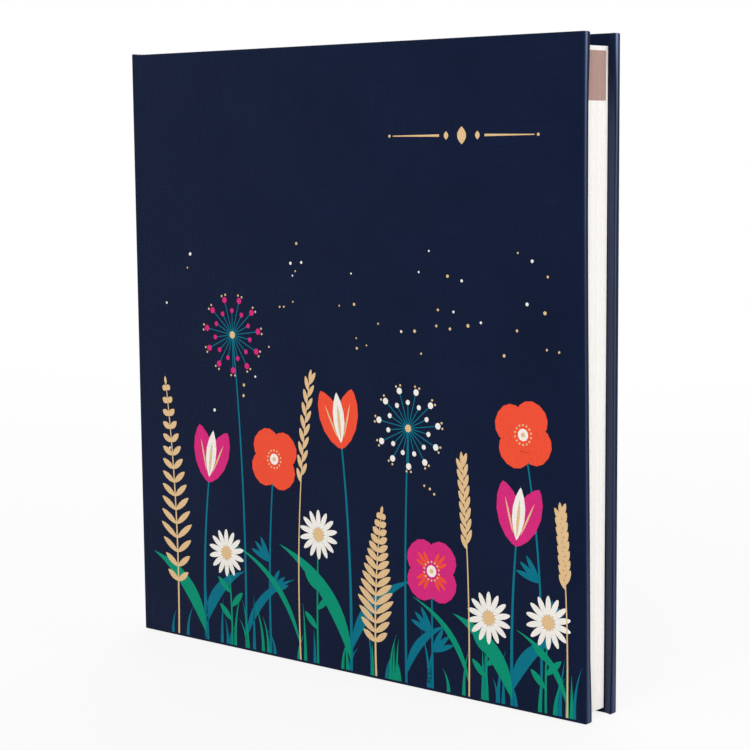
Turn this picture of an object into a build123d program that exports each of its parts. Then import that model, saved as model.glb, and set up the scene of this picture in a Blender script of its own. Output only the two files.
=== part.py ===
"""Hardback address book: a sewn page block in a three-board case covered in linen-finish cloth.

The book stands on its tail. X runs from the spine to the fore-edge, Y from the front cover to the
back cover, and Z from tail to head. The origin is under the middle of the book. Millimetres.
"""

import os

from build123d import *

# Case
COVER_HEIGHT = 210.0
COVER_WIDTH = 196.0
BOARD_THICKNESS = 2.15
SPINE_BOARD_THICKNESS = 2.15
CLOTH_THICKNESS = 0.25
TURN_IN = 15.0
EDGE_ROUND = 0.45
SPINE_ROUND = 0.9

# Hinge between the spine and each cover: the cloth bends between the edges of two boards
HINGE_OFFSET = 0.2
JOINT_WIDTH = 2.2
CLOTH_SPLIT = 0.2

# Endpapers
ENDPAPER_THICKNESS = 0.13
PASTEDOWN_MARGIN = 4.5
LEAF_GAP = 0.05

# Page block: sections of folded sheets, one inside the other
SECTIONS = ("ab", "cd", "ef", "gh", "ij", "kl", "mn", "op", "qr", "st", "uv", "wxyz", "notes")
SHEETS_PER_SECTION = 3
PAPER_THICKNESS = 0.115
SHEET_GAP = 0.01
FOLD_GAP = 0.03
SECTION_GAP = 0.04
HEAD_SQUARE = 3.9
TAIL_SQUARE = 2.0
FORE_EDGE_SQUARE = 2.6

# Spine of the page block
LINING_THICKNESS = 0.2
MULL_THICKNESS = 0.2
MULL_END_MARGIN = 12.0
THREAD_DIAMETER = 0.3
THREAD_CLEARANCE = 0.025
STITCH_STATIONS = 6
STITCH_SPACING = 32.0
BAND_BEAD_DIAMETER = 1.4
BAND_RIBBON_THICKNESS = 0.25
BAND_RIBBON_DEPTH = 8.0
BAND_CLEARANCE = 0.05

# Stack of layers through the thickness
COVER_THICKNESS = BOARD_THICKNESS + 2 * CLOTH_THICKNESS
HALF_SECTION = (
    FOLD_GAP / 2 + SHEETS_PER_SECTION * PAPER_THICKNESS + (SHEETS_PER_SECTION - 1) * SHEET_GAP
)
SECTION_PITCH = 2 * HALF_SECTION + SECTION_GAP
BLOCK_THICKNESS = len(SECTIONS) * SECTION_PITCH - SECTION_GAP
FLYLEAF_DEPTH = COVER_THICKNESS + ENDPAPER_THICKNESS + LEAF_GAP
BLOCK_DEPTH = FLYLEAF_DEPTH + ENDPAPER_THICKNESS + LEAF_GAP
BOOK_THICKNESS = BLOCK_THICKNESS + 2 * BLOCK_DEPTH

# Places from the spine to the fore-edge
SPINE_X = -COVER_WIDTH / 2
SPINE_BOARD_X = SPINE_X + CLOTH_THICKNESS
SPINE_INSIDE_X = SPINE_BOARD_X + SPINE_BOARD_THICKNESS
HINGE_X = SPINE_INSIDE_X + HINGE_OFFSET
BOARD_X = HINGE_X + JOINT_WIDTH
LINING_X = SPINE_INSIDE_X + CLOTH_THICKNESS
MULL_X = LINING_X + LINING_THICKNESS
THREAD_X = MULL_X + MULL_THICKNESS
FOLD_X = THREAD_X + THREAD_DIAMETER + 2 * THREAD_CLEARANCE
FORE_EDGE_X = COVER_WIDTH / 2 - FORE_EDGE_SQUARE

# Places from the tail to the head
MIDDLE_Z = COVER_HEIGHT / 2
PAGE_HEIGHT = COVER_HEIGHT - HEAD_SQUARE - TAIL_SQUARE
PAGE_HEAD_Z = COVER_HEIGHT - HEAD_SQUARE
PAGE_MIDDLE_Z = TAIL_SQUARE + PAGE_HEIGHT / 2
BOARD_HEIGHT = COVER_HEIGHT - 2 * CLOTH_THICKNESS
BETWEEN_TURN_INS = COVER_HEIGHT - 2 * TURN_IN


def save(piece, name):
    """Label a finished piece and write it to its own file."""
    piece.part.label = name
    export_step(piece.part, f"parts/{name}.step")


def save_pair(front, piece):
    """Save a piece of the front cover, and its mirror image on the back cover."""
    save(front, f"front_{piece}")
    with BuildPart() as back:
        mirror(front.part, about=Plane.XZ)
    save(back, f"back_{piece}")


def panel(depth, from_x, to_x, height, middle_z=MIDDLE_Z):
    """Outline parallel to the front cover, at a depth under its outer face, looking at the pages."""
    plane = Plane((0, depth - BOOK_THICKNESS / 2, middle_z), x_dir=(1, 0, 0), z_dir=(0, 1, 0))
    with BuildSketch(plane) as outline:
        with Locations((from_x, 0)):
            Rectangle(to_x - from_x, height, align=(Align.MIN, Align.CENTER))
    return outline.sketch


def spine_strip(from_x, to_x, half_width, corner, base_z):
    """Outline across the spine, with its two outer corners rounded."""
    with BuildSketch(Plane.XY.offset(base_z)) as outline:
        with Locations((from_x, 0)):
            Rectangle(to_x - from_x, 2 * half_width, align=(Align.MIN, Align.CENTER))
        fillet(outline.vertices().group_by(Axis.X)[0], corner)
    return outline.sketch


def folded_sheet(middle_y, outside):
    """Outline of one sheet folded at the spine: two leaves joined by a round fold."""
    inside = outside - PAPER_THICKNESS
    fold_x = FOLD_X + HALF_SECTION
    with BuildSketch(Plane.XY.offset(TAIL_SQUARE)) as outline:
        with Locations((fold_x, middle_y)):
            for reach, mode in ((outside, Mode.ADD), (inside, Mode.SUBTRACT)):
                Circle(reach, mode=mode)
                Rectangle(FORE_EDGE_X - fold_x, 2 * reach, align=(Align.MIN, Align.CENTER), mode=mode)
    return outline.sketch


os.makedirs("parts", exist_ok=True)

# Cover boards
with BuildPart() as cover_board:
    extrude(
        panel(CLOTH_THICKNESS, BOARD_X, COVER_WIDTH / 2 - CLOTH_THICKNESS, BOARD_HEIGHT),
        amount=BOARD_THICKNESS,
    )
save_pair(cover_board, "board")

# Cover cloth: a skin round the board, turned in over its inner face at head, tail and fore-edge
with BuildPart() as cover_cloth:
    cloth_x = HINGE_X + CLOTH_SPLIT / 2
    extrude(panel(0, cloth_x, COVER_WIDTH / 2, COVER_HEIGHT), amount=COVER_THICKNESS)
    hinge_end = cover_cloth.faces().sort_by(Axis.X)[0]
    fillet(cover_cloth.edges() - hinge_end.edges(), EDGE_ROUND)
    add(cover_board.part, mode=Mode.SUBTRACT)
    extrude(
        panel(CLOTH_THICKNESS + BOARD_THICKNESS, BOARD_X, COVER_WIDTH / 2 - TURN_IN, BETWEEN_TURN_INS),
        amount=CLOTH_THICKNESS,
        mode=Mode.SUBTRACT,
    )
    # Over the joint the cloth is a single layer, doubled only by the turn-ins at head and tail
    extrude(
        panel(CLOTH_THICKNESS, cloth_x, BOARD_X, BETWEEN_TURN_INS),
        amount=CLOTH_THICKNESS,
        mode=Mode.SUBTRACT,
    )
    extrude(
        panel(2 * CLOTH_THICKNESS, cloth_x, BOARD_X, COVER_HEIGHT),
        amount=BOARD_THICKNESS,
        mode=Mode.SUBTRACT,
    )
save_pair(cover_cloth, "cover_cloth")

# Pastedowns: each lies on the turn-ins and sinks onto the board between them
with BuildPart() as pastedown:
    extrude(
        panel(
            COVER_THICKNESS,
            BOARD_X,
            COVER_WIDTH / 2 - PASTEDOWN_MARGIN,
            COVER_HEIGHT - 2 * PASTEDOWN_MARGIN,
        ),
        amount=ENDPAPER_THICKNESS,
    )
    extrude(
        panel(COVER_THICKNESS - CLOTH_THICKNESS, BOARD_X, COVER_WIDTH / 2 - TURN_IN, BETWEEN_TURN_INS),
        amount=CLOTH_THICKNESS,
    )
save_pair(pastedown, "pastedown")

# Flyleaves
with BuildPart() as flyleaf:
    extrude(
        panel(FLYLEAF_DEPTH, FOLD_X, FORE_EDGE_X, PAGE_HEIGHT, PAGE_MIDDLE_Z),
        amount=ENDPAPER_THICKNESS,
    )
save_pair(flyleaf, "flyleaf")

# Spine board
with BuildPart() as spine_board:
    extrude(
        spine_strip(
            SPINE_BOARD_X,
            SPINE_INSIDE_X,
            BOOK_THICKNESS / 2 - CLOTH_THICKNESS,
            SPINE_ROUND - CLOTH_THICKNESS,
            CLOTH_THICKNESS,
        ),
        amount=BOARD_HEIGHT,
    )
save(spine_board, "spine_board")

# Spine cloth: wrapped round the spine board and turned in over its head and tail
with BuildPart() as spine_cloth:
    half_spine = BOOK_THICKNESS / 2
    extrude(
        spine_strip(SPINE_X, HINGE_X - CLOTH_SPLIT / 2, half_spine, SPINE_ROUND, 0),
        amount=COVER_HEIGHT,
    )
    ends = spine_cloth.faces().filter_by(Axis.Z)
    fillet(ends.edges().group_by(Axis.X)[0], EDGE_ROUND)
    add(spine_board.part, mode=Mode.SUBTRACT)
    with BuildSketch():
        with Locations((SPINE_INSIDE_X, 0)):
            Rectangle(
                HINGE_OFFSET,
                2 * (half_spine - CLOTH_THICKNESS),
                align=(Align.MIN, Align.CENTER),
            )
    extrude(amount=COVER_HEIGHT, mode=Mode.SUBTRACT)
    for end_z in (0, COVER_HEIGHT - TURN_IN):
        with BuildSketch(Plane.XY.offset(end_z)):
            with Locations((SPINE_INSIDE_X, 0)):
                Rectangle(
                    CLOTH_THICKNESS,
                    2 * (half_spine - CLOTH_THICKNESS),
                    align=(Align.MIN, Align.CENTER),
                )
        extrude(amount=TURN_IN)
save(spine_cloth, "spine_cloth")

# Page sections
for place, letters in enumerate(SECTIONS):
    section_y = place * SECTION_PITCH + HALF_SECTION - BLOCK_THICKNESS / 2
    with BuildPart() as section:
        for sheet in range(SHEETS_PER_SECTION):
            reach = HALF_SECTION - sheet * (PAPER_THICKNESS + SHEET_GAP)
            extrude(folded_sheet(section_y, reach), amount=PAGE_HEIGHT)
    save(section, f"section_{letters}")

# Stitches that link the folds of the sections
with BuildPart() as sewing_thread:
    with BuildSketch(Plane.XZ):
        with Locations((THREAD_X + THREAD_CLEARANCE + THREAD_DIAMETER / 2, PAGE_MIDDLE_Z)):
            with GridLocations(0, STITCH_SPACING, 1, STITCH_STATIONS):
                Circle(THREAD_DIAMETER / 2)
    extrude(amount=BLOCK_THICKNESS / 2, both=True)
save(sewing_thread, "sewing_thread")

# Gauze over the folds, and the paper strip over the gauze
with BuildPart() as mull_lining:
    with BuildSketch(Plane.XZ):
        with Locations((MULL_X, PAGE_MIDDLE_Z)):
            Rectangle(
                MULL_THICKNESS,
                PAGE_HEIGHT - 2 * MULL_END_MARGIN,
                align=(Align.MIN, Align.CENTER),
            )
    extrude(amount=BLOCK_THICKNESS / 2, both=True)
save(mull_lining, "mull_lining")

with BuildPart() as spine_lining:
    with BuildSketch(Plane.XZ):
        with Locations((LINING_X, PAGE_MIDDLE_Z)):
            Rectangle(LINING_THICKNESS, PAGE_HEIGHT, align=(Align.MIN, Align.CENTER))
    extrude(amount=BLOCK_THICKNESS / 2, both=True)
save(spine_lining, "spine_lining")

# Corded bands at the head and tail of the page block's spine
with BuildPart() as head_band:
    bead_z = PAGE_HEAD_Z + BAND_CLEARANCE + BAND_BEAD_DIAMETER / 2
    with BuildSketch(Plane.XZ):
        with Locations((THREAD_X, bead_z)):
            Rectangle(
                BAND_RIBBON_THICKNESS,
                BAND_RIBBON_DEPTH + bead_z - PAGE_HEAD_Z,
                align=(Align.MIN, Align.MAX),
            )
        with Locations((THREAD_X + BAND_BEAD_DIAMETER / 2, bead_z)):
            Circle(BAND_BEAD_DIAMETER / 2)
    extrude(amount=BLOCK_THICKNESS / 2, both=True)
save(head_band, "head_band")

with BuildPart() as tail_band:
    mirror(head_band.part, about=Plane.XY.offset(PAGE_MIDDLE_Z))
save(tail_band, "tail_band")
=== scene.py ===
"""Looks of a cloth-bound address book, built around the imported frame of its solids.

The frame gives the places and sizes, in metres: X runs from the spine to the fore-edge, Y from the
front cover to the back cover, and Z from tail to head. The book stands on its tail at Z 0.
"""

import math
import random

import bmesh
import bpy
from bpy.props import FloatProperty, FloatVectorProperty, IntProperty, PointerProperty
from mathutils import Matrix, Vector


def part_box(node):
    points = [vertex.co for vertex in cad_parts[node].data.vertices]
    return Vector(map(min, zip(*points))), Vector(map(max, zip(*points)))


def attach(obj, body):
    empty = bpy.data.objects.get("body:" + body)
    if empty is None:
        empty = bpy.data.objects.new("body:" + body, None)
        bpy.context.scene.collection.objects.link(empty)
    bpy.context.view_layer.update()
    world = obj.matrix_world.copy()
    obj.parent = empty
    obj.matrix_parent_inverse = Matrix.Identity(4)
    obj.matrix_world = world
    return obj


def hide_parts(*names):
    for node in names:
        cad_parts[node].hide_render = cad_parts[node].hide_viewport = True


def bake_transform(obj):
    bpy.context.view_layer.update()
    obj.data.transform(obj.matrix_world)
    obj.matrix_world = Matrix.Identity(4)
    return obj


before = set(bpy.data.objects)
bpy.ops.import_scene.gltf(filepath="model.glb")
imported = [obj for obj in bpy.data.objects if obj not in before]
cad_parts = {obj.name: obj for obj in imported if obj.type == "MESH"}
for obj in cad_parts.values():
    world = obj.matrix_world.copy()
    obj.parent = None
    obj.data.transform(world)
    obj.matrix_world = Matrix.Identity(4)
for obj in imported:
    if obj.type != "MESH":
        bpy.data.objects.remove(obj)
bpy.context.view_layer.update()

bl_info = {
    "name": "Address Book",
    "version": (1, 0, 0),
    "blender": (4, 5, 0),
    "location": "View3D > Sidebar > Address Book",
    "description": "Builds a cloth-bound address book around its packed solids",
    "category": "Add Mesh",
}

MM = 0.001
X_AXIS = Vector((1.0, 0.0, 0.0))
Y_AXIS = Vector((0.0, 1.0, 0.0))
Z_AXIS = Vector((0.0, 0.0, 1.0))

# Case: places from the frame, the lap of the cloth over the boards, and the reach of the corner folds
COVER_LOW, COVER_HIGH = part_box("front_cover_cloth")
SPINE_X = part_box("spine_cloth")[0].x
FORE_X = COVER_HIGH.x
OUTER_Y = COVER_LOW.y
INNER_Y = COVER_HIGH.y
HEAD_Z = COVER_HIGH.z
CLOTH_LAP = 0.1 * MM
SPINE_INSIDE_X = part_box("spine_board")[1].x + CLOTH_LAP
BOARD_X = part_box("front_board")[0].x - CLOTH_LAP
FOLD_REACH_X = 2.6 * MM
FOLD_REACH_Z = 24 * MM
NEAR = 0.001 * MM

# Painted highlight along the fore-edge of each cover, where a lamp's reflection falls, at its middle,
# head and tail:
# its place from the middle of the edge toward the inside of the cover and its reach to each side, in
# millimetres, and its strength
PAINTED_HIGHLIGHT = "rubbed"
EDGE_MIDDLE_Y = (OUTER_Y + INNER_Y) / 2
HIGHLIGHT_LINE = {"front": (-0.5, -0.38, 0.0), "back": (0.75, 0.22, -0.3)}
HIGHLIGHT_REACH = (0.5, 0.5, 1.2)
HIGHLIGHT_STRENGTH = (0.17, 0.85, 0.15)

# Painted light on the cloth inside each cover along the fore-edge, fading out near the head
PAINTED_BORDER_LIGHT = "dulled"
BORDER_WIDTH = 2.4 * MM
BORDER_LIGHT = 0.08
BORDER_FADE = 40 * MM

# Page block: places from the frame, and how the sheets are stacked and shaded
SECTIONS = [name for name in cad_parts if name.startswith("section_")]
CENTRE_SECTION = "section_mn"
PLAIN_SECTION = "section_notes"
PAGE_LOW, PAGE_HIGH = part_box(CENTRE_SECTION)
HALF_SECTION = (PAGE_HIGH.y - PAGE_LOW.y) / 2
FOLD_X = PAGE_LOW.x + HALF_SECTION
SHEETS_PER_SECTION = 3
PAPER_THICKNESS = 0.128 * MM
SHEET_GAP = 0.002 * MM
SECTION_SWELL = 0.016 * MM
ENDPAPER_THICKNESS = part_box("front_flyleaf")[1].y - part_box("front_flyleaf")[0].y
SHADE = "shade"
SHEET_SHADE = 0.08

# Printed writing lines, in millimetres: how near they come to the fore-edge, how far they stop short
# of the fold, how thick they are, and the middle and half the height of the part that is ruled
RULE_BLEED = 0.3
RULE_MARGIN = 14.0
RULE_THICKNESS = 0.22
RULED_MIDDLE = 98.0
RULED_REACH = 84.0

# How finely the bending parts are divided; the cuts near corners and edges are in millimetres
JOINT_CUTS = 10
COVER_CUTS = 18
HEIGHT_CUTS = 20
GUTTER_CUTS = 16
LEAF_CUTS = 8
CORNER_CUTS = (1.6, 2.3, 2.8, 5.0, 7.5)
EDGE_CUTS = (-0.16, 0.0, 0.16)
FOLD_STEPS = 6

# Printed motifs: how finely they are drawn, and the steps in height that keep their shapes apart
BLADE_CORNERS = 14
DOT_CORNERS = 10
RIBBON_STEPS = 14
INK_SUNK = 0.02 * MM
INK_STEP = 0.008 * MM
OVERLAP_STEP = 0.0008
OVERLAP_TURNS = 8


def linear(hex_colour):
    """Linear colour, with alpha, of an sRGB hex value."""
    channels = [int(hex_colour[place:place + 2], 16) / 255 for place in (1, 3, 5)]
    return [c / 12.92 if c <= 0.04045 else ((c + 0.055) / 1.055) ** 2.4 for c in channels] + [1.0]


def ease(share):
    """Smooth rise from 0 to 1."""
    share = min(1.0, max(0.0, share))
    return share * share * (3 - 2 * share)


def colour_property(name, description, hex_colour):
    """A colour that the user may change."""
    return FloatVectorProperty(
        name=name, description=description, subtype="COLOR", size=4, min=0, max=1,
        default=linear(hex_colour),
    )


def number_property(name, description, value, **kind):
    """A number that the user may change."""
    return FloatProperty(name=name, description=description, default=value, **kind)


def length_property(name, description, millimetres):
    """A length that the user may change."""
    return number_property(name, description, millimetres * MM, unit="LENGTH")


def angle_property(name, description, degrees):
    """An angle that the user may change."""
    return number_property(name, description, math.radians(degrees), subtype="ANGLE")


class CaseSettings(bpy.types.PropertyGroup):
    """Cloth-covered case."""

    cloth: colour_property("Cloth", "Dye of the book cloth", "#0A1227")
    cloth_light: colour_property("Raised threads", "Dye where the threads stand up", "#18223F")
    # Painted highlight: pale bluish colour mixed in along the board edges where a lamp's reflection falls
    cloth_highlight: colour_property("Painted highlight", "Highlight painted along the board edges", "#9BB2DD")
    # Painted light: paler colour mixed into the cloth inside each cover along the fore-edge
    cloth_border_light: colour_property("Painted border light", "Light painted on the cloth inside the covers", "#A8AEC8")
    sheen: colour_property("Sheen", "Tint of the light that the starched cloth throws back", "#8FB4FF")
    thread_spacing: length_property("Thread spacing", "From one thread to the next", 0.62)
    thread_relief: length_property("Thread relief", "Height of the threads over the gaps", 0.035)
    edge_round: length_property("Edge round", "Radius of the covered board edges", 1.0)
    spine_round: length_property("Spine round", "Radius of the two spine corners", 0.5)
    joint_thickness: length_property("Joint thickness", "Cloth and paper over the joint", 0.5)
    joint_dip: length_property("Joint dip", "How far the cloth sinks between the boards", 0.03)
    head_cap: length_property("Head cap", "How far the cloth stands over the spine at the head", 0.35)
    corner_fold: length_property("Corner folds", "Extra thickness of the cloth at the corners", 0.8)
    curl: length_property("Cover curl", "How far the front cover stands off at its upper fore-edge", 2.1)
    curl_height: length_property("Curl height", "Height at which the curl is full", 170)
    back_curl: length_property("Back curl", "How far the back cover stands off at the same place", 1.05)


class PageSettings(bpy.types.PropertyGroup):
    """Page block and endpapers."""

    paper: colour_property("Paper", "Uncoated page paper", "#FDFAF7")
    shade: colour_property("Shade", "Dull tone that some sheets lean to, so that edges show", "#6E665C")
    rule: colour_property("Rules", "Printed writing lines", "#D9CFC8")
    index: colour_property("Index block", "Printed corner blocks that reach the fore-edge", "#B6968D")
    endpaper: colour_property("Endpaper", "Heavier paper inside the covers", "#F4F0EA")
    rule_spacing: length_property("Rule spacing", "From one writing line to the next", 6.9)
    index_tail: length_property("Index block foot", "Height of the block's lower edge", 189.85)
    index_height: length_property("Index block height", "Length of the block along the fore-edge", 14.9)
    index_width: length_property("Index block width", "Reach of the block in from the fore-edge", 17)
    gutter: length_property("Gutter", "Width of the leaf that bends as it turns", 25)
    ragged: length_property("Ragged edge", "How far one leaf may lie behind the next", 0.06)
    lean: length_property("Lean", "How far the leaves lean back at their upper fore-edge", 1.0)
    seed: IntProperty(name="Seed", description="Fixes the scatter of the leaf edges", default=7)


class PrintSettings(bpy.types.PropertyGroup):
    """Printed border of meadow flowers on the front cover."""

    gold: colour_property("Gold", "Foil-blocked gold", "#E0BB88")
    teal: colour_property("Teal", "Stalk ink", "#007187")
    green: colour_property("Green", "Leaf ink", "#009070")
    magenta: colour_property("Magenta", "Petal ink", "#D6297B")
    orange: colour_property("Orange", "Petal ink", "#F05035")
    white: colour_property("White", "Petal ink", "#F3EFE8")
    lift: length_property("Ink lift", "Height of the first ink over the cloth", 0.02)
    seed: IntProperty(name="Seed", description="Fixes the scatter of the drifting seeds", default=21)


class StageSettings(bpy.types.PropertyGroup):
    """Floor, light and camera."""

    floor: colour_property("Floor", "Plain pale floor", "#F4F4F3")
    ambient: number_property("Ambient", "Strength of the even light", 0.52)
    side_power: number_property("Side light", "Tall soft light on the fore-edge side", 2.95, unit="POWER")
    front_power: number_property("Front light", "Soft light in front of the cover", 13, unit="POWER")
    back_power: number_property("Back light", "Soft light behind the spine", 9, unit="POWER")
    azimuth: angle_property("Azimuth", "Camera's turn from the front cover", 40.16)
    elevation: angle_property("Elevation", "Camera's height over the horizon", 6.8)
    roll: angle_property("Roll", "Camera's tilt", -0.57)
    distance: length_property("Distance", "From the camera to its target", 647.9)
    target_x: length_property("Target X", "Point that the camera looks at", 7.8)
    target_z: length_property("Target Z", "Point that the camera looks at", 101.1)
    lens: number_property("Lens", "Focal length in millimetres", 93.3)


def node(tree, kind, inputs=None, **settings):
    """Add a node, set its properties, and give each input a value or a link."""
    added = tree.nodes.new(kind)
    for name, value in settings.items():
        setattr(added, name, value)
    for socket, value in (inputs or {}).items():
        if isinstance(value, bpy.types.NodeSocket):
            tree.links.new(value, added.inputs[socket])
        else:
            added.inputs[socket].default_value = value
    return added


def calculate(tree, operation, *values, **settings):
    """Result of a math node on values or links."""
    inputs = dict(enumerate(values))
    return node(tree, "ShaderNodeMath", inputs, operation=operation, **settings).outputs["Value"]


def mix_colours(tree, share, first, second):
    """Mix of two colours, each given as a value or a link."""
    inputs = {"Factor": share, 6: first, 7: second}
    return node(tree, "ShaderNodeMix", inputs, data_type="RGBA").outputs[2]


def noise(tree, place, scale, detail, **inputs):
    """Cloudy pattern over a place."""
    inputs = {"Vector": place, "Scale": scale, "Detail": detail, **inputs}
    return node(tree, "ShaderNodeTexNoise", inputs).outputs["Fac"]


def bands(tree, place, spacing, direction, **inputs):
    """Pattern of even bands across a direction, with a spacing from one to the next."""
    inputs = {"Vector": place, "Scale": math.pi / 10 / spacing, **inputs}
    return node(
        tree, "ShaderNodeTexWave", inputs, wave_type="BANDS", bands_direction=direction,
    ).outputs["Fac"]


def finish_surface(tree, shader, tone, height, distance, strength=1.0):
    """Give a surface its colour, and the relief of a pattern of heights."""
    inputs = {"Height": height, "Strength": strength, "Distance": distance}
    bump = node(tree, "ShaderNodeBump", inputs)
    tree.links.new(tone, shader.inputs["Base Color"])
    tree.links.new(bump.outputs["Normal"], shader.inputs["Normal"])


def new_material(name, shader_inputs):
    """An empty material with its shader wired to the output."""
    material = bpy.data.materials.new(name)
    material.use_nodes = True
    tree = material.node_tree
    tree.nodes.clear()
    shader = node(tree, "ShaderNodeBsdfPrincipled", shader_inputs)
    node(tree, "ShaderNodeOutputMaterial", {"Surface": shader.outputs["BSDF"]})
    return material, tree, shader


def weave_height(tree, unfolded):
    """Height of a plain linen weave, unfolded in millimetres: two crossed threads with slubs."""
    spacing = bpy.context.scene.book_case.thread_spacing / MM
    threads = []
    for direction, slub_reach in (("X", (1.0, 0.06, 1.0)), ("Y", (0.06, 1.0, 1.0))):
        thread = bands(tree, unfolded, spacing, direction, Distortion=0.7, Detail=1.0)
        along = node(tree, "ShaderNodeMapping", {"Vector": unfolded, "Scale": slub_reach})
        slub = noise(tree, along.outputs["Vector"], 1 / spacing, 2.0)
        threads.append(calculate(tree, "MULTIPLY", thread, slub))
    return calculate(tree, "ADD", *threads)


def book_cloth():
    """Starch-filled cotton book cloth, dyed navy: fine crossed threads under a low sheen."""
    case = bpy.context.scene.book_case
    material, tree, shader = new_material(
        "navy_book_cloth", {"Specular IOR Level": 0.08, "Specular Tint": case.sheen[:], "IOR": 1.5},
    )
    unfolded = node(tree, "ShaderNodeTexCoord").outputs["UV"]
    height = weave_height(tree, unfolded)
    patches = noise(tree, unfolded, 0.03, 3.0)
    raised = calculate(tree, "MULTIPLY", height, patches, use_clamp=True)
    dyed = mix_colours(tree, raised, case.cloth[:], case.cloth_light[:])
    # Painted light mixed into the cloth inside each cover along the fore-edge
    dulled = node(tree, "ShaderNodeAttribute", attribute_name=PAINTED_BORDER_LIGHT).outputs["Fac"]
    border_lit = mix_colours(tree, dulled, dyed, case.cloth_border_light[:])
    # Painted highlight mixed into the colour along the fore-edges; the roughness also drops there
    rubbed = node(tree, "ShaderNodeAttribute", attribute_name=PAINTED_HIGHLIGHT).outputs["Fac"]
    highlighted = mix_colours(tree, rubbed, border_lit, case.cloth_highlight[:])
    polish = node(tree, "ShaderNodeMix", {"Factor": rubbed, "A": 0.45, "B": 0.32}, data_type="FLOAT")
    tree.links.new(polish.outputs["Result"], shader.inputs["Roughness"])
    finish_surface(tree, shader, highlighted, height, case.thread_relief)
    return material


def printed_film(name, shader_inputs, colour, gap_share, relief_share):
    """A film printed on cloth, darker by a share in the gaps of the weave and raised by its threads."""
    material, tree, shader = new_material(name, shader_inputs)
    unfolded = node(tree, "ShaderNodeTexCoord").outputs["UV"]
    height = weave_height(tree, unfolded)
    in_gaps = [channel * gap_share for channel in colour[:3]] + [1.0]
    tone = mix_colours(tree, height, in_gaps, colour[:])
    relief = bpy.context.scene.book_case.thread_relief * relief_share
    finish_surface(tree, shader, tone, height, relief)
    return material


def printed_ink(name, colour):
    """Screen-printed ink: an even matt film that sinks a little into the weave and shows it."""
    finish = {"Roughness": 0.6, "Specular IOR Level": 0.08, "IOR": 1.5}
    return printed_film(f"{name}_ink", finish, colour, 0.8, 0.6)


def gold_foil(colour):
    """Gold blocking foil pressed into cloth: a satin metal film, broken slightly by the threads."""
    return printed_film("gold_foil", {"Metallic": 0.2, "Roughness": 0.45}, colour, 0.82, 0.5)


def page_print(tree, unfolded, tone):
    """Print writing lines and an index block over the tone of a page."""
    pages = bpy.context.scene.book_pages
    place = node(tree, "ShaderNodeSeparateXYZ", {"Vector": unfolded})
    from_edge, from_tail = place.outputs["X"], place.outputs["Y"]
    over_line = calculate(tree, "MODULO", from_tail, pages.rule_spacing / MM)
    thin = calculate(tree, "LESS_THAN", over_line, RULE_THICKNESS)
    half_rule = (PAGE_HIGH.x - PAGE_LOW.x) / MM / 2 - RULE_MARGIN / 2
    inside = calculate(tree, "COMPARE", from_edge, half_rule + RULE_BLEED, half_rule)
    below = calculate(tree, "COMPARE", from_tail, RULED_MIDDLE, RULED_REACH)
    ruled = calculate(tree, "MULTIPLY", calculate(tree, "MULTIPLY", thin, inside), below)
    tone = mix_colours(tree, ruled, tone, pages.rule[:])
    half_block = pages.index_height / MM / 2
    tall = calculate(tree, "COMPARE", from_tail, pages.index_tail / MM + half_block, half_block)
    wide = calculate(tree, "LESS_THAN", from_edge, pages.index_width / MM)
    return mix_colours(tree, calculate(tree, "MULTIPLY", tall, wide), tone, pages.index[:])


def paper(name, colour, printed):
    """Uncoated wood-free paper: a soft matt surface with faint fibres, and print where it is asked."""
    material, tree, shader = new_material(name, {"Roughness": 0.85, "Specular IOR Level": 0.25})
    unfolded = node(tree, "ShaderNodeTexCoord").outputs["UV"]
    fibres = noise(tree, unfolded, 0.9, 5.0, Roughness=0.6)
    dull = [channel * 0.95 for channel in colour[:3]] + [1.0]
    tone = mix_colours(tree, fibres, colour[:], dull)
    if printed:
        tone = page_print(tree, unfolded, tone)
    shade = node(tree, "ShaderNodeAttribute", attribute_name=SHADE).outputs["Fac"]
    tone = mix_colours(tree, shade, tone, bpy.context.scene.book_pages.shade[:])
    finish_surface(tree, shader, tone, fibres, 0.01 * MM, 0.5)
    return material


def fibre_stock(name, hex_dark, hex_light, grain_mm, roughness):
    """Pressed or spun fibre, such as grey board, kraft lining or gauze: matt, with a mottled grain."""
    material, tree, shader = new_material(name, {"Roughness": roughness, "Specular IOR Level": 0.2})
    place = node(tree, "ShaderNodeTexCoord").outputs["Object"]
    grain = noise(tree, place, 1 / (grain_mm * MM), 4.0)
    tone = mix_colours(tree, grain, linear(hex_dark), linear(hex_light))
    finish_surface(tree, shader, tone, grain, 0.04 * MM, 0.6)
    return material


def band_cord(stripe_mm):
    """Woven cotton band: silk-wrapped bead in two colours that alternate across the spine."""
    material, tree, shader = new_material(
        "band_cord", {"Roughness": 0.6, "Specular IOR Level": 0.3, "Sheen Weight": 0.3},
    )
    place = node(tree, "ShaderNodeTexCoord").outputs["Object"]
    stripes = bands(tree, place, stripe_mm * MM, "Y", Distortion=0.0)
    pale = calculate(tree, "GREATER_THAN", stripes, 0.5)
    tone = mix_colours(tree, pale, linear("#1F2A4A"), linear("#EDE8DF"))
    finish_surface(tree, shader, tone, stripes, 0.1 * MM)
    return material


def new_object(name, data):
    """Put a mesh, a light or a camera into the scene."""
    added = bpy.data.objects.new(name, data)
    bpy.context.scene.collection.objects.link(added)
    return added


def new_mesh(name, bm, material):
    """Put a finished mesh into the scene."""
    mesh = bpy.data.meshes.new(name)
    bm.to_mesh(mesh)
    bm.free()
    mesh.materials.append(material)
    return new_object(name, mesh)


def new_piece(name, bm, material):
    """Turn a finished closed mesh into a piece of the book."""
    if any(edge.is_boundary for edge in bm.edges):
        raise RuntimeError(f"{name} has an open edge")
    piece = new_mesh(name, bm, material)
    return piece


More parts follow.
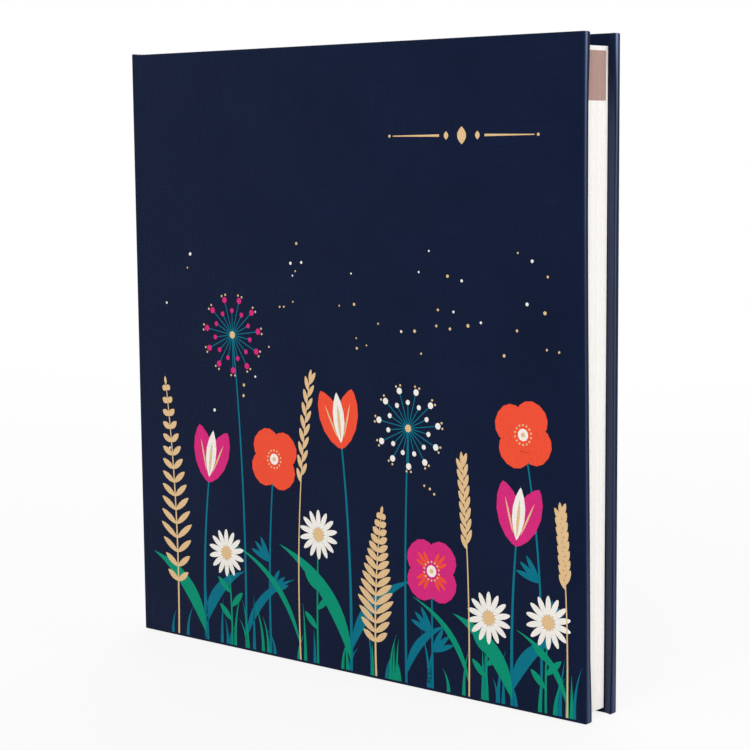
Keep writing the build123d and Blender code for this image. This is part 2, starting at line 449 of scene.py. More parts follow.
def cut_across(bm, axis, places):
    """Divide a mesh at places along an axis, so that it can bend there."""
    for place in places:
        everything = bm.verts[:] + bm.edges[:] + bm.faces[:]
        bmesh.ops.bisect_plane(bm, geom=everything, plane_co=axis * place, plane_no=axis)


def spread(low, high, count):
    """Evenly spaced places between two ends."""
    return [low + (high - low) * step / (count + 1) for step in range(1, count + 1)]


def curl_cover(bm, side):
    """Bend a mesh with the curl of its cover, which stands off most at the upper fore-edge."""
    case = bpy.context.scene.book_case
    for vert in bm.verts:
        reach = max(0.0, (vert.co.x - BOARD_X) / (FORE_X - BOARD_X)) ** 1.6
        if side == "front":
            vert.co.y -= case.curl * reach * ease(vert.co.z / case.curl_height)
        else:
            vert.co.y += case.back_curl * reach * (0.5 + 0.5 * vert.co.z / HEAD_Z)


def lean_leaf(bm):
    """Lean a leaf back toward the back cover, most at its upper fore-edge."""
    lean = bpy.context.scene.book_pages.lean
    for vert in bm.verts:
        reach = max(0.0, (vert.co.x - FOLD_X) / (PAGE_HIGH.x - FOLD_X))
        vert.co.y += lean * reach ** 2 * vert.co.z / HEAD_Z


def is_outer_arris(edge):
    """True for a sharp edge on the outside of the case, away from the joint and the spine's middle."""
    if edge.calc_face_angle_signed(0.0) < math.radians(60):
        return False
    middle = (edge.verts[0].co + edge.verts[1].co) / 2
    on_spine = middle.x < SPINE_X + bpy.context.scene.book_case.spine_round and middle.y < -NEAR
    on_faces = middle.y < OUTER_Y + NEAR or abs(middle.y - INNER_Y) < NEAR
    return on_spine or on_faces or middle.x > FORE_X - NEAR


def round_off(bm, edges, radius, segments):
    """Round sharp edges."""
    bmesh.ops.bevel(
        bm, geom=edges, offset=radius, offset_type="OFFSET", segments=segments, profile=0.5,
        affect="EDGES", material=-1, clamp_overlap=True,
    )


def case_half():
    """Front half of the case as one closed skin: half the spine, the joint and the covered board."""
    case = bpy.context.scene.book_case
    joint_y = OUTER_Y + case.joint_thickness
    corners = (
        (SPINE_X, 0.0),
        (SPINE_X, OUTER_Y),
        (FORE_X, OUTER_Y),
        (FORE_X, INNER_Y),
        (BOARD_X, INNER_Y),
        (BOARD_X, joint_y),
        (SPINE_INSIDE_X, joint_y),
        (SPINE_INSIDE_X, 0.0),
    )
    bm = bmesh.new()
    tail = bm.faces.new([bm.verts.new((x, y, 0.0)) for x, y in corners])
    raised = bmesh.ops.extrude_face_region(bm, geom=[tail])["geom"]
    bmesh.ops.translate(
        bm, verts=[part for part in raised if isinstance(part, bmesh.types.BMVert)], vec=Z_AXIS * HEAD_Z,
    )
    bmesh.ops.recalc_face_normals(bm, faces=bm.faces[:])
    spine_corner = [
        edge for edge in bm.edges
        if all(abs(v.co.x - SPINE_X) < NEAR and abs(v.co.y - OUTER_Y) < NEAR for v in edge.verts)
    ]
    round_off(bm, spine_corner, case.spine_round, 5)
    bm.normal_update()
    round_off(bm, [edge for edge in bm.edges if is_outer_arris(edge)], case.edge_round, 5)
    cut_across(bm, X_AXIS, spread(SPINE_INSIDE_X, BOARD_X, JOINT_CUTS))
    cut_across(bm, X_AXIS, [BOARD_X] + spread(BOARD_X, FORE_X - case.edge_round, COVER_CUTS))
    cut_across(bm, Z_AXIS, spread(case.edge_round, HEAD_Z - case.edge_round, HEIGHT_CUTS))
    for inset in CORNER_CUTS:
        cut_across(bm, X_AXIS, [FORE_X - inset * MM])
        cut_across(bm, Z_AXIS, [inset * MM, HEAD_Z - inset * MM])
    cut_across(bm, Y_AXIS, [EDGE_MIDDLE_Y + place * MM for place in EDGE_CUTS])
    bm.normal_update()
    return bm


def lay_weave(bm):
    """Unfold the cloth to a flat piece in millimetres, so that its threads follow every face."""
    weave = bm.loops.layers.uv.new("weave")
    for face in bm.faces:
        for loop in face.loops:
            x, y, z = loop.vert.co
            depth = y - OUTER_Y
            if abs(face.normal.z) > 0.7:
                unfolded = Vector((x, z - depth))
            elif abs(face.normal.x) > 0.7:
                unfolded = Vector((x - depth, z))
            else:
                unfolded = Vector((x, z))
            loop[weave].uv = unfolded / MM
        face.smooth = True


def on_edge(height, values):
    """Value at a height of the fore-edge, from the values at its middle, its head and its tail."""
    middle, head, tail = values
    share = 2 * height / HEAD_Z - 1
    return middle + (head - middle) * max(0.0, share) ** 2 + (tail - middle) * min(0.0, share) ** 2


def paint_edge_light(bm, side):
    """Mark where a highlight is painted along the fore-edge, and where light is painted on the border
    inside.
    """
    rubbed = bm.verts.layers.float.new(PAINTED_HIGHLIGHT)
    dulled = bm.verts.layers.float.new(PAINTED_BORDER_LIGHT)
    for vert in bm.verts:
        if vert.co.x <= FORE_X - BORDER_WIDTH:
            continue
        height = vert.co.z
        # Painted light on the inside border, fading out near the head
        if vert.normal.y > 0.9:
            vert[dulled] = BORDER_LIGHT * ease((HEAD_Z - height) / BORDER_FADE)
            continue
        # Painted highlight: a band placed and strengthened along the edge where a lamp's reflection
        # falls, strongest near the head
        line_y = EDGE_MIDDLE_Y + on_edge(height, HIGHLIGHT_LINE[side]) * MM
        apart = abs(vert.co.y - line_y) / MM / on_edge(height, HIGHLIGHT_REACH)
        strength = on_edge(height, HIGHLIGHT_STRENGTH) * max(0.0, 1 - apart)
        vert[rubbed] = strength * max(0.0, vert.normal.x)


def press_joint(bm):
    """Sink the cloth where no board carries it, and let it stand up over the spine at the head."""
    case = bpy.context.scene.book_case
    for vert in bm.verts:
        share = (vert.co.x - SPINE_INSIDE_X) / (BOARD_X - SPINE_INSIDE_X)
        if 0 < share < 1 and vert.co.y < OUTER_Y + case.joint_thickness + NEAR:
            sink = case.joint_dip * math.sin(math.pi * share) ** 2
            vert.co.y += sink
            vert.co.z -= math.copysign(sink, vert.co.z - HEAD_Z / 2)
        if share <= 0 and vert.co.z > HEAD_Z - case.edge_round - NEAR:
            vert.co.z += case.head_cap


def fold_corners(bm):
    """Swell the inner edge of the board at its two outer corners, where the cloth is folded double."""
    case = bpy.context.scene.book_case
    for vert in bm.verts:
        inward = ease((vert.co.y - OUTER_Y) / (INNER_Y - OUTER_Y))
        edge = ease(1 - (FORE_X - vert.co.x) / FOLD_REACH_X)
        end = ease(1 - min(vert.co.z, HEAD_Z - vert.co.z) / FOLD_REACH_Z)
        vert.co.y += case.corner_fold * inward * edge * end


class ADDRESS_BOOK_OT_case(bpy.types.Operator):
    """Build the cloth-covered case in two halves that meet along the middle of the spine"""

    bl_idname = "address_book.case"
    bl_label = "Case"

    def execute(self, context):
        cloth = book_cloth()
        for side in ("front", "back"):
            bm = case_half()
            lay_weave(bm)
            paint_edge_light(bm, side)
            press_joint(bm)
            fold_corners(bm)
            if side == "back":
                bmesh.ops.scale(bm, vec=(1, -1, 1), verts=bm.verts[:])
                bmesh.ops.reverse_faces(bm, faces=bm.faces[:])
            curl_cover(bm, side)
            half = new_piece(f"{side}_case", bm, cloth)
            half.modifiers.new("even_faces", "WEIGHTED_NORMAL")
            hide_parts(f"{side}_cover_cloth", f"{side}_board", "spine_cloth")
            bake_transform(half)
        return {"FINISHED"}


def draw_out(bm, edges, distance):
    """Draw upright edges out along X into a leaf, and return the far edges."""
    drawn = bmesh.ops.extrude_edge_only(bm, edges=edges)["geom"]
    far = [part for part in drawn if isinstance(part, bmesh.types.BMVert)]
    bmesh.ops.translate(bm, verts=far, vec=X_AXIS * distance)
    return [
        part for part in drawn
        if isinstance(part, bmesh.types.BMEdge) and all(vert in far for vert in part.verts)
    ]


def draw_leaf(bm, x, y, heights, distance):
    """Draw a leaf out along X from an upright edge, and return its far edges."""
    edge = bm.edges.new([bm.verts.new((x, y, z)) for z in heights])
    return draw_out(bm, [edge], distance)


def lay_flat(bm, name, unfold):
    """Lay coordinates in millimetres on every face, unfolded from the places of its corners."""
    layer = bm.loops.layers.uv.new(name)
    for face in bm.faces:
        for loop in face.loops:
            loop[layer].uv = unfold(loop.vert.co) / MM


def lay_page(bm):
    """Lay page coordinates on a leaf: from the fore-edge in, and from the tail up."""
    lay_flat(bm, "page", lambda place: Vector((PAGE_HIGH.x - place.x, place.z)))


def lay_print(bm):
    """Lay the coordinates of the weave on a print."""
    lay_flat(bm, "weave", lambda place: place.xz)


def folded_sheet(bm, middle_y, reach, fore_edges):
    """Draw one sheet folded at the spine: a leaf, a round fold and a second leaf."""
    near, far = fore_edges
    at_fold = draw_leaf(bm, near, middle_y - reach, (PAGE_LOW.z, PAGE_HIGH.z), FOLD_X - near)
    turned = bmesh.ops.spin(
        bm, geom=at_fold + list(at_fold[0].verts), cent=(FOLD_X, middle_y, 0), axis=Z_AXIS,
        angle=-math.pi, steps=FOLD_STEPS, use_merge=False,
    )["geom_last"]
    draw_out(bm, [part for part in turned if isinstance(part, bmesh.types.BMEdge)], far - FOLD_X)


def turn_outward(bm, middle_y):
    """Turn the faces of folded sheets away from the line that they are folded round."""
    bm.normal_update()
    for face in bm.faces:
        centre = face.calc_center_median()
        outward = Vector((min(0.0, centre.x - FOLD_X), centre.y - middle_y, 0.0))
        if face.normal.dot(outward) < 0:
            face.normal_flip()


def leaf_cuts():
    """Places along X where a leaf is divided, most of them in the part that bends."""
    gutter_x = FOLD_X + bpy.context.scene.book_pages.gutter
    return spread(FOLD_X, gutter_x, GUTTER_CUTS) + spread(gutter_x, PAGE_HIGH.x, LEAF_CUTS)


def bend_leaf(piece):
    """Apply a leaf's place to its mesh."""
    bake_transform(piece)


class ADDRESS_BOOK_OT_sections(bpy.types.Operator):
    """Build the page sections, each of three sheets folded one inside the other"""

    bl_idname = "address_book.sections"
    bl_label = "Page sections"

    def execute(self, context):
        pages = context.scene.book_pages
        scatter = random.Random(pages.seed)
        shades = random.Random(pages.seed)
        printed_paper = paper("ruled_page_paper", pages.paper, True)
        plain_paper = paper("plain_page_paper", pages.paper, False)
        for section in SECTIONS:
            low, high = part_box(section)
            middle_y = (low.y + high.y) / 2
            section_x = PAGE_HIGH.x - scatter.uniform(0, pages.ragged)
            bm = bmesh.new()
            shade = bm.verts.layers.float.new(SHADE)
            drawn = 0
            for sheet in range(SHEETS_PER_SECTION):
                reach = HALF_SECTION + SECTION_SWELL - sheet * (PAPER_THICKNESS + SHEET_GAP)
                fore_edges = [section_x - scatter.uniform(0, pages.ragged) for leaf in range(2)]
                folded_sheet(bm, middle_y, reach, fore_edges)
                sheet_shade = shades.uniform(0, SHEET_SHADE)
                for vert in bm.verts[drawn:]:
                    vert[shade] = sheet_shade
                drawn = len(bm.verts)
            cut_across(bm, X_AXIS, leaf_cuts())
            turn_outward(bm, middle_y)
            bmesh.ops.solidify(bm, geom=bm.faces[:], thickness=PAPER_THICKNESS)
            lay_page(bm)
            lean_leaf(bm)
            stock = plain_paper if section == PLAIN_SECTION else printed_paper
            leaves = new_piece(section.replace("section", "leaves"), bm, stock)
            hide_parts(section)
            if section == CENTRE_SECTION:
                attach(leaves, "spine")
            else:
                bend_leaf(leaves)
        return {"FINISHED"}


class ADDRESS_BOOK_OT_endpapers(bpy.types.Operator):
    """Build the flyleaves, and the pastedowns with the strips that cross the joints"""

    bl_idname = "address_book.endpapers"
    bl_label = "Endpapers"

    def execute(self, context):
        stock = paper("endpaper_stock", context.scene.book_pages.endpaper, False)
        lining_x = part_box("spine_lining")[0].x
        for side in ("front", "back"):
            low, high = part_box(f"{side}_flyleaf")
            bm = bmesh.new()
            draw_leaf(bm, high.x, high.y, (low.z, high.z), low.x - high.x)
            cut_across(bm, X_AXIS, leaf_cuts())
            self.give_thickness(bm)
            lean_leaf(bm)
            flyleaf = new_piece(f"{side}_free_endpaper", bm, stock)
            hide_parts(f"{side}_flyleaf")
            bend_leaf(flyleaf)

            low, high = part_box(f"{side}_pastedown")
            face_y = high.y if side == "front" else low.y + ENDPAPER_THICKNESS
            bm = bmesh.new()
            draw_leaf(bm, high.x, face_y, (low.z, high.z), lining_x - high.x)
            cut_across(bm, X_AXIS, spread(lining_x, BOARD_X, JOINT_CUTS) + [BOARD_X])
            cut_across(bm, X_AXIS, spread(BOARD_X, high.x, COVER_CUTS))
            cut_across(bm, Z_AXIS, spread(low.z, high.z, HEIGHT_CUTS))
            self.give_thickness(bm)
            curl_cover(bm, side)
            pastedown = new_piece(f"{side}_pasted_endpaper", bm, stock)
            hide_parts(f"{side}_pastedown")
            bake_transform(pastedown)
        return {"FINISHED"}

    def give_thickness(self, bm):
        """Thicken a flat endpaper toward the front cover."""
        for face in bm.faces:
            if face.normal.y < 0:
                face.normal_flip()
        bmesh.ops.solidify(bm, geom=bm.faces[:], thickness=ENDPAPER_THICKNESS)
        lay_page(bm)


class ADDRESS_BOOK_OT_index_letters(bpy.types.Operator):
    """Print the letters of each section on the corner blocks of its first and last page"""

    bl_idname = "address_book.index_letters"
    bl_label = "Index letters"

    def execute(self, context):
        pages = context.scene.book_pages
        ink = printed_ink("white", context.scene.book_print.white)
        middle_x = PAGE_HIGH.x - pages.index_width / 2
        middle_z = pages.index_tail + pages.index_height / 2
        for section in SECTIONS:
            if section == PLAIN_SECTION:
                continue
            letters = section.removeprefix("section_")
            low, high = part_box(section)
            bm = bmesh.new()
            for face_y, turn in ((low.y - SECTION_SWELL, 0.0), (high.y + SECTION_SWELL, math.pi)):
                glyphs = self.flat_text(letters.upper())
                place = Matrix.Translation((middle_x, face_y, middle_z))
                upright = Matrix.Rotation(math.pi / 2, 4, "X")
                glyphs.transform(place @ Matrix.Rotation(turn, 4, "Z") @ upright)
                bm.from_mesh(glyphs)
                bpy.data.meshes.remove(glyphs)
            bmesh.ops.remove_doubles(bm, verts=bm.verts[:], dist=NEAR / 10)
            lean_leaf(bm)
            lay_print(bm)
            print_piece = new_piece(f"letters_{letters}", bm, ink)
            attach(print_piece, "spine" if section == CENTRE_SECTION else section)
        return {"FINISHED"}

    def flat_text(self, words):
        """Mesh of thin standing letters, centred on the origin."""
        curve = bpy.data.curves.new("index_text", "FONT")
        curve.body = words
        curve.size = (5.2 if len(words) == 2 else 3.6) * MM
        curve.extrude = 0.008 * MM
        curve.resolution_u = 3
        curve.align_x = "CENTER"
        curve.align_y = "CENTER"
        text = bpy.data.objects.new("index_text", curve)
        mesh = bpy.data.meshes.new_from_object(text)
        bpy.data.objects.remove(text)
        bpy.data.curves.remove(curve)
        return mesh


class ADDRESS_BOOK_OT_spine_fittings(bpy.types.Operator):
    """Finish the pieces along the spine of the page block, which keep their own shapes"""

    bl_idname = "address_book.spine_fittings"
    bl_label = "Spine fittings"

    def execute(self, context):
        band = band_cord(1.3)
        finishes = {
            "head_band": band,
            "tail_band": band,
            "sewing_thread": fibre_stock("linen_thread", "#D8CDB8", "#F1E9DA", 0.3, 0.7),
            "mull_lining": fibre_stock("mull_gauze", "#D9D2C3", "#EFEADF", 0.6, 0.8),
            "spine_lining": fibre_stock("kraft_lining", "#B08A5E", "#C9A679", 0.8, 0.75),
            "spine_board": fibre_stock("grey_board", "#8C877E", "#A8A39A", 1.2, 0.85),
        }
        for name, finish in finishes.items():
            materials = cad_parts[name].data.materials
            materials.clear()
            materials.append(finish)
        return {"FINISHED"}


def on_curve(path, share):
    """Place and heading on a bowed line, given as its start, its pull and its end."""
    start, pull, end = path
    place = start * (1 - share) ** 2 + pull * 2 * share * (1 - share) + end * share ** 2
    along = (pull - start) * (1 - share) + (end - pull) * share
    return place, math.atan2(along.x, along.y)


def toward(heading):
    """Direction of a heading, an angle from straight up, clockwise."""
    return Vector((math.sin(heading), math.cos(heading)))


def around(count):
    """Headings evenly spaced round a circle."""
    return [2 * math.pi * turn / count for turn in range(count)]


def overlap_lift(layer):
    """Small lift that differs from shape to shape, so that shapes of one ink may lie over each other."""
    return OVERLAP_STEP * (len(layer.faces) % OVERLAP_TURNS)


def ribbon(layer, path, width_at):
    """A flat stalk or long leaf along a bowed line."""
    lift = overlap_lift(layer)
    strip = bmesh.ops.create_grid(layer, x_segments=1, y_segments=RIBBON_STEPS, size=1.0)["verts"]
    for vert in strip:
        share = (vert.co.y + 1) / 2
        place, heading = on_curve(path, share)
        across = toward(heading + math.pi / 2) * vert.co.x * width_at(share) / 2
        vert.co = (*(place + across), lift)


def blade(layer, base, heading, length, width, point):
    """A petal or leaflet: a disc drawn out along its heading and pinched toward both ends."""
    lift = overlap_lift(layer)
    ring = bmesh.ops.create_circle(layer, cap_ends=True, segments=BLADE_CORNERS, radius=1.0)["verts"]
    for vert in ring:
        across = math.copysign(abs(vert.co.x) ** point, vert.co.x)
        vert.co = (across * width / 2, (1 + vert.co.y) * length / 2, 0.0)
    bmesh.ops.rotate(layer, verts=ring, cent=(0, 0, 0), matrix=Matrix.Rotation(-heading, 3, "Z"))
    bmesh.ops.translate(layer, verts=ring, vec=(*base, lift))


def dot(layer, place, radius):
    """A round spot."""
    lift = overlap_lift(layer)
    ring = bmesh.ops.create_circle(layer, cap_ends=True, segments=DOT_CORNERS, radius=radius)["verts"]
    bmesh.ops.translate(layer, verts=ring, vec=(*place, lift))


def ring_of_dots(layer, eye, reach, count, radius):
    """Round spots in a ring."""
    for heading in around(count):
        dot(layer, eye + toward(heading) * reach, radius)


def leaflet(layer, path, share, turn, length, width, point):
    """A leaflet on a stalk, turned away from its heading there."""
    base, heading = on_curve(path, share)
    blade(layer, base, heading + turn, length, width, point)


def stalk(layer, foot, height, lean, width):
    """Stalk from the foot of the cover, bowed the way it leans, and its path."""
    start = Vector((foot, BORDER_FOOT))
    end = Vector((foot + lean, height))
    path = (start, Vector((foot - lean * 0.35, height * 0.55)), end)
    ribbon(layer, path, lambda share: width * (1 - 0.5 * share))
    return path


def long_leaf(layer, path, share, side, length, width):
    """Long leaf that springs from a stalk and bends away from it."""
    base, heading = on_curve(path, share)
    middle = base + toward(heading + side * 0.25) * length * 0.55
    tip = base + toward(heading + side * 0.75) * length
    ribbon(layer, (base, middle, tip), lambda part: max(0.08, width * math.sin(math.pi * part ** 0.8)))


def tulip(inks, foot, height, lean, petal):
    """Tulip: a cup of three petals with fine gold veins, and two long leaves."""
    path = stalk(inks["teal"], foot, height, lean, 1.3)
    long_leaf(inks["green"], path, 0.04, -1, height * 0.62, 5.5)
    long_leaf(inks["teal"], path, 0.08, 1, height * 0.5, 4.6)
    tip, heading = on_curve(path, 1.0)
    base = tip - toward(heading) * 1.5
    for turn in (-0.34, 0.34):
        blade(inks[petal], base, heading + turn, 21, 9.5, 1.5)
    blade(inks["white"], base + toward(heading) * 2, heading, 17, 5.0, 1.8)
    blade(inks["gold"], base + toward(heading) * 3, heading, 12, 1.2, 1.8)
    for turn in (-0.36, 0.36):
        blade(inks["gold"], base + toward(heading + turn) * 4, heading + turn, 12, 0.7, 1.8)


def daisy(inks, foot, height, lean, petal):
    """Daisy: a ring of narrow petals round a dotted eye, with a few small leaves."""
    path = stalk(inks["green"], foot, height, lean, 0.9)
    for share, side in ((0.25, -1), (0.4, 1), (0.55, -1)):
        leaflet(inks["green"], path, share, side * 0.8, 8, 2.4, 1.6)
    eye = on_curve(path, 1.0)[0]
    for heading in around(14):
        blade(inks[petal], eye + toward(heading) * 2.0, heading, 6.6, 2.0, 1.1)
    dot(inks["gold"], eye, 2.5)
    ring_of_dots(inks["orange"], eye, 1.5, 6, 0.35)


def poppy(inks, foot, height, lean, petal):
    """Poppy: four broad petals with a paler flare, a dotted crown and a ring of gold stamens."""
    path = stalk(inks["teal"], foot, height, lean, 1.0)
    for share, side in ((0.3, 1), (0.45, -1)):
        for turn in (0.5, 0.85, 1.2):
            leaflet(inks["teal"], path, share, side * turn, 9.5, 1.9, 1.5)
    eye, top = on_curve(path, 1.0)
    flare = "orange" if petal == "magenta" else "magenta"
    for turn in around(4):
        heading = top + math.pi / 4 + turn
        blade(inks[petal], eye, heading, 11.5, 12.5, 0.9)
        for side in (-0.32, 0.0, 0.32):
            base = eye + toward(heading + side) * 2.6
            blade(inks[flare], base, heading + side, 5.4 - abs(side) * 3, 1.3, 1.4)
    dot(inks["white"], eye, 2.0)
    dot(inks["gold"], eye, 0.8)
    ring_of_dots(inks["gold"], eye, 3.1, 14, 0.36)


def allium(inks, foot, height, lean, petal):
    """Round seed head: spokes of two lengths, tipped with small florets."""
    path = stalk(inks["teal"], foot, height, lean, 1.0)
    long_leaf(inks["teal"], path, 0.03, 1, height * 0.3, 3.2)
    eye = on_curve(path, 1.0)[0]
    for spoke, heading in enumerate(around(22)):
        is_long = spoke % 2 == 1
        tip = eye + toward(heading) * (12.5 if is_long else 8.5)
        ribbon(inks["teal"], (eye, (eye + tip) / 2, tip), lambda share: 0.32)
        dot(inks[petal], tip, 1.1 if is_long else 0.85)
        if is_long:
            for side in (-0.5, 0.5):
                dot(inks["gold"], tip + toward(heading + side) * 1.9, 0.4)
    dot(inks["gold"], eye, 1.3)


def fern(inks, foot, height, lean, petal):
    """Fern: pairs of leaflets that shorten toward the tip of a bowed stalk."""
    path = stalk(inks[petal], foot, height, lean, 0.8)
    pairs = 15
    for pair in range(pairs):
        share = 0.2 + 0.78 * pair / (pairs - 1)
        length = 11.5 * (1 - 0.8 * pair / (pairs - 1)) * min(1.0, 0.55 + 0.15 * pair)
        for side in (-1, 1):
            leaflet(inks[petal], path, share, side * 0.95, length, 2.3, 1.5)
    leaflet(inks[petal], path, 1.0, 0.0, 3.2, 1.2, 1.5)


def grass(inks, foot, height, lean, petal):
    """Grass: a thin stalk with an ear of slanted seeds."""
    path = stalk(inks[petal], foot, height, lean, 0.6)
    long_leaf(inks["green"], path, 0.05, -1, height * 0.45, 2.2)
    seeds = 16
    for seed in range(seeds):
        share = 0.62 + 0.37 * seed / (seeds - 1)
        side = 1 if seed % 2 else -1
        leaflet(inks[petal], path, share, side * 0.42, 5.2, 1.7, 1.4)
    leaflet(inks[petal], path, 1.0, 0.0, 4.5, 1.4, 1.6)


# Border of meadow plants along the tail of the cover, in millimetres:
# plant, ink, place of its foot, height of its head, and how far it leans
BORDER_FOOT = 1.0
PLANTING = (
    (fern, "gold", -80, 92, -4),
    (tulip, "magenta", -66, 60, 3),
    (daisy, "white", -53, 34, -2),
    (allium, "magenta", -46, 112, -4),
    (poppy, "orange", -34, 70, 3),
    (grass, "gold", -20, 98, 6),
    (daisy, "white", -12, 46, 1),
    (tulip, "orange", 3, 78, -3),
    (fern, "gold", 14, 56, 3),
    (allium, "white", 27, 86, 2),
    (poppy, "magenta", 38, 40, 0),
    (grass, "gold", 53, 76, -2),
    (daisy, "white", 60, 28, 1),
    (tulip, "magenta", 70, 54, 2),
    (poppy, "orange", 81, 88, -6),
    (daisy, "white", 83, 30, 1),
    (grass, "gold", 91, 64, -2),
)
TUFT_COUNT = 46

# Seeds that drift above the border, clear of the flower heads, in millimetres
DRIFT_COUNT = 150
HEAD_CLEARANCE = 19.0
DRIFT_FOOT = 60.0
DRIFT_HEAD = 150.0

# Ornament in the upper right of the cover, in millimetres
ORNAMENT_X = 52.0
ORNAMENT_Z = 180.0
ORNAMENT_WIDTH = 56.0


def tufts(inks, scatter):
    """Short blades of grass between the stalks."""
    for blade_number in range(TUFT_COUNT):
        foot = Vector((scatter.uniform(-88, 94), BORDER_FOOT))
        height = scatter.uniform(7, 20)
        tip = foot + Vector((scatter.uniform(-4, 4), height))
        pull = foot + Vector((0.0, height * 0.6))
        ink = inks["green" if blade_number % 2 else "teal"]
        ribbon(ink, (foot, pull, tip), lambda share: max(0.08, 1.5 * (1 - share)))


def drifting_seeds(inks, scatter):
    """Small gold and white spots that thin out above the border."""
    heads = [Vector((foot + lean, height + 6)) for plant, ink, foot, height, lean in PLANTING]
    for spot in range(DRIFT_COUNT):
        rise = scatter.random() ** 1.6
        place = Vector((scatter.uniform(-84, 90), DRIFT_FOOT + (DRIFT_HEAD - DRIFT_FOOT) * rise))
        radius = scatter.uniform(0.28, 0.62)
        if min((place - head).length for head in heads) > HEAD_CLEARANCE:
            dot(inks["gold" if spot % 3 else "white"], place, radius)


def ornament(inks):
    """Plain divider: two tapered rules either side of a row of lozenges."""
    middle = Vector((ORNAMENT_X, ORNAMENT_Z))
    for side in (-1, 1):
        inner = middle + Vector((side * 9.0, 0.0))
        outer = middle + Vector((side * ORNAMENT_WIDTH / 2, 0.0))
        ribbon(inks["gold"], (inner, (inner + outer) / 2, outer), lambda share: 0.75 - 0.45 * share)
        blade(inks["gold"], middle + Vector((side * 6.2, -1.3)), 0.0, 2.6, 1.8, 2.0)
        dot(inks["gold"], outer + Vector((side * 1.4, 0.0)), 0.5)
    blade(inks["gold"], middle + Vector((0.0, -2.75)), 0.0, 5.5, 3.6, 2.0)


class ADDRESS_BOOK_OT_cover_print(bpy.types.Operator):
    """Print the border of meadow plants and the divider on the front cover"""

    bl_idname = "address_book.cover_print"
    bl_label = "Cover print"

    def execute(self, context):
        colours = context.scene.book_print
        finishes = {
            name: printed_ink(name, getattr(colours, name))
            for name in ("teal", "green", "magenta", "orange", "white")
        }
        finishes["gold"] = gold_foil(colours.gold)
        inks = {name: bmesh.new() for name in finishes}
        for plant, ink, foot, height, lean in PLANTING:
            plant(inks, foot, height, lean, ink)
        scatter = random.Random(colours.seed)
        tufts(inks, scatter)
        drifting_seeds(inks, scatter)
        ornament(inks)
        onto_cover = Matrix.Rotation(math.pi / 2, 4, "X") @ Matrix.Scale(MM, 4)
        for order, (name, bm) in enumerate(inks.items()):
            lift = colours.lift + order * INK_STEP
            bmesh.ops.transform(bm, matrix=onto_cover, verts=bm.verts[:])
            bmesh.ops.translate(bm, verts=bm.verts[:], vec=(0, OUTER_Y - lift, 0))
            bmesh.ops.solidify(bm, geom=bm.faces[:], thickness=lift + INK_SUNK)
            lay_print(bm)
            curl_cover(bm, "front")
            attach(new_piece(f"print_{name}", bm, finishes[name]), "front_cover")
        return {"FINISHED"}


# Stage, in metres: half the floor's width, and the place and the size of each lamp
FLOOR_REACH = 20.0
LAMPS = {
    "side": ((1.15, 0.15, 0.32), (0.16, 0.6)),
    "front": ((0.55, -1.25, 0.7), (1.2, 1.2)),
    "back": ((-0.8, 1.2, 0.7), (1.2, 1.2)),
}


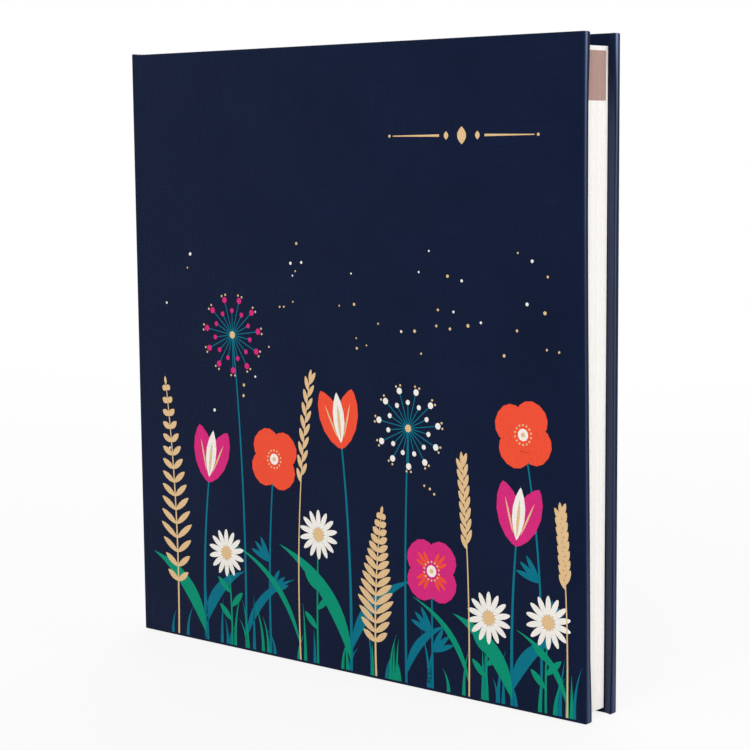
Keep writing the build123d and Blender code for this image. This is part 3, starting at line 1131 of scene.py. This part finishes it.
class ADDRESS_BOOK_OT_stage(bpy.types.Operator):
    """Lay the floor, and set the lights and the camera"""

    bl_idname = "address_book.stage"
    bl_label = "Stage"

    def execute(self, context):
        stage = context.scene.book_stage
        context.scene.view_settings.view_transform = "Standard"
        self.floor(stage.floor)
        self.world(stage.ambient)
        for name, (place, size) in LAMPS.items():
            self.softbox(f"{name}_softbox", place, size, getattr(stage, f"{name}_power"))
        self.camera(stage)
        return {"FINISHED"}

    def floor(self, colour):
        """Wide pale floor that fades to white away from the book, and still takes its shadow."""
        material, tree, shader = new_material("matt_floor", {"Base Color": colour[:], "Roughness": 0.9})
        place = node(tree, "ShaderNodeTexCoord").outputs["Object"]
        distance = node(tree, "ShaderNodeVectorMath", {0: place}, operation="LENGTH")
        fade = {"From Min": 0.3, "From Max": 1.5, "To Min": 0.85, "To Max": 1.0}
        white = node(tree, "ShaderNodeMapRange", {"Value": distance.outputs["Value"], **fade})
        share = calculate(tree, "MULTIPLY", self.background_ray(tree), white.outputs["Result"])
        glow = node(tree, "ShaderNodeEmission", {"Color": (1, 1, 1, 1), "Strength": 1.0})
        shown = node(
            tree, "ShaderNodeMixShader",
            {0: share, 1: shader.outputs["BSDF"], 2: glow.outputs["Emission"]},
        )
        output = next(part for part in tree.nodes if part.type == "OUTPUT_MATERIAL")
        tree.links.new(shown.outputs["Shader"], output.inputs["Surface"])
        bm = bmesh.new()
        bmesh.ops.create_grid(bm, x_segments=1, y_segments=1, size=FLOOR_REACH)
        new_mesh("floor", bm, material)

    def background_ray(self, tree):
        """One for the rays that show the white background: camera, mirrored and transmitted rays."""
        rays = node(tree, "ShaderNodeLightPath").outputs
        mirrored = calculate(tree, "MAXIMUM", rays["Is Glossy Ray"], rays["Is Transmission Ray"])
        return calculate(tree, "MAXIMUM", rays["Is Camera Ray"], mirrored)

    def world(self, ambient):
        """Even light all round, in front of a white backdrop."""
        world = bpy.data.worlds.new("studio")
        bpy.context.scene.world = world
        world.use_nodes = True
        tree = world.node_tree
        tree.nodes.clear()
        strength = node(
            tree, "ShaderNodeMix", {"Factor": self.background_ray(tree), "A": ambient, "B": 1.0},
            data_type="FLOAT",
        )
        light = node(
            tree, "ShaderNodeBackground", {"Color": (1, 1, 1, 1), "Strength": strength.outputs["Result"]},
        )
        node(tree, "ShaderNodeOutputWorld", {"Surface": light.outputs["Background"]})

    def softbox(self, name, place, size, power):
        """Soft light that faces the book."""
        light = bpy.data.lights.new(name, "AREA")
        light.shape = "RECTANGLE"
        light.size, light.size_y = size
        light.energy = power
        lamp = new_object(name, light)
        lamp.location = place
        aim = Vector((0, 0, HEAD_Z / 2)) - Vector(place)
        lamp.rotation_euler = aim.to_track_quat("-Z", "Y").to_euler()

    def camera(self, stage):
        """Camera at a slight height, turned toward the fore-edge."""
        level = math.cos(stage.elevation)
        back = Vector((
            math.sin(stage.azimuth) * level, -math.cos(stage.azimuth) * level, math.sin(stage.elevation),
        ))
        right = (-back).cross(Z_AXIS).normalized()
        up = right.cross(-back)
        tilt = Matrix.Rotation(stage.roll, 3, back)
        axes = Matrix((tilt @ right, tilt @ up, back)).transposed().to_4x4()
        data = bpy.data.cameras.new("camera")
        data.lens = stage.lens
        data.clip_start = 0.01
        camera = new_object("camera", data)
        target = Vector((stage.target_x, 0, stage.target_z))
        camera.matrix_world = Matrix.Translation(target + back * stage.distance) @ axes
        bpy.context.scene.camera = camera


OPERATORS = (
    ADDRESS_BOOK_OT_case,
    ADDRESS_BOOK_OT_sections,
    ADDRESS_BOOK_OT_endpapers,
    ADDRESS_BOOK_OT_index_letters,
    ADDRESS_BOOK_OT_spine_fittings,
    ADDRESS_BOOK_OT_cover_print,
    ADDRESS_BOOK_OT_stage,
)


class ADDRESS_BOOK_PT_panel(bpy.types.Panel):
    """Lists the book's pieces in the order in which they are built"""

    bl_idname = "ADDRESS_BOOK_PT_panel"
    bl_label = "Address Book"
    bl_space_type = "VIEW_3D"
    bl_region_type = "UI"
    bl_category = "Address Book"

    def draw(self, context):
        for operator in OPERATORS:
            self.layout.operator(operator.bl_idname)
        for settings in SETTINGS:
            box = self.layout.box()
            for name in SETTINGS[settings].__annotations__:
                box.prop(getattr(context.scene, settings), name)


SETTINGS = {
    "book_case": CaseSettings,
    "book_pages": PageSettings,
    "book_print": PrintSettings,
    "book_stage": StageSettings,
}


def register():
    for name, settings in SETTINGS.items():
        bpy.utils.register_class(settings)
        setattr(bpy.types.Scene, name, PointerProperty(type=settings))
    for operator in OPERATORS:
        bpy.utils.register_class(operator)
    bpy.utils.register_class(ADDRESS_BOOK_PT_panel)


def unregister():
    bpy.utils.unregister_class(ADDRESS_BOOK_PT_panel)
    for operator in reversed(OPERATORS):
        bpy.utils.unregister_class(operator)
    for name, settings in SETTINGS.items():
        delattr(bpy.types.Scene, name)
        bpy.utils.unregister_class(settings)


def main():
    register()
    bpy.ops.address_book.case()
    bpy.ops.address_book.sections()
    bpy.ops.address_book.endpapers()
    bpy.ops.address_book.index_letters()
    bpy.ops.address_book.spine_fittings()
    bpy.ops.address_book.cover_print()
    bpy.ops.address_book.stage()


if __name__ == "__main__":
    main()
